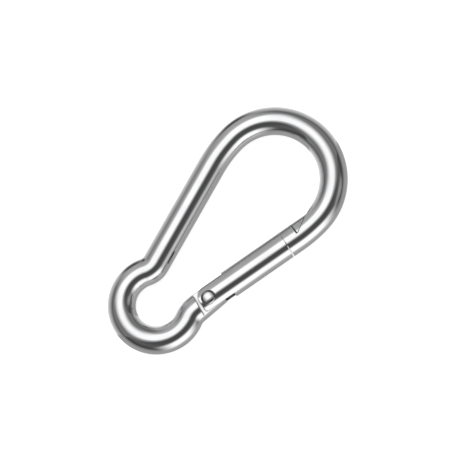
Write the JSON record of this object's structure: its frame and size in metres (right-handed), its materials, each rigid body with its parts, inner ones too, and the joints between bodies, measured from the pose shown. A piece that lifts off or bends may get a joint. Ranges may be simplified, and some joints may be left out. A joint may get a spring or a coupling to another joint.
{
  "type": "spring snap hook",
  "caption": "Pear-shaped snap hook bent from round bar, with a small eye, a large bow and a sprung gate that swings inwards on a rivet.",
  "frame": {"origin": "middle of the bounding box, in the plane through the middle of the bar", "axes": "+X from the small eye to the large bow, +Y towards the plain leg opposite the gate, +Z square to the plane of the hook"},
  "size_m": [0.1, 0.05, 0.0097],
  "materials": {
    "body_steel": "polished stainless bar, fine lengthwise polishing lines",
    "gate_steel": "polished stainless rod, fine lengthwise polishing lines",
    "rivet_steel": "polished domed head",
    "plunger_steel": "turned, not polished",
    "spring_steel": "drawn spring wire"
  },
  "bodies": {
    "body": {"body": "body_steel"},
    "gate": {"gate": "gate_steel", "hinge_rivet": "rivet_steel", "gate_spring": "spring_steel"},
    "plunger": {"plunger": "plunger_steel"}
  },
  "joints": [
    {"name": "gate_hinge", "type": "hinge", "parent": "body", "child": "gate", "pos_m": [-0.01947, -0.01182, 0], "axis": [0, 0, 1], "range_deg": [0, 41], "stiffness_Nm_per_rad": 0.05, "springref_deg": -28.65},
    {"name": "plunger_slide", "type": "slide", "parent": "gate", "child": "plunger", "axis": [0.9767, -0.2147, 0], "range_m": [0, 0.0012], "deforming": ["gate_spring"]}
  ],
  "couplings": [
    {"joint": "plunger_slide", "follows": "gate_hinge", "m_per_rad": 0.00125}
  ]
}
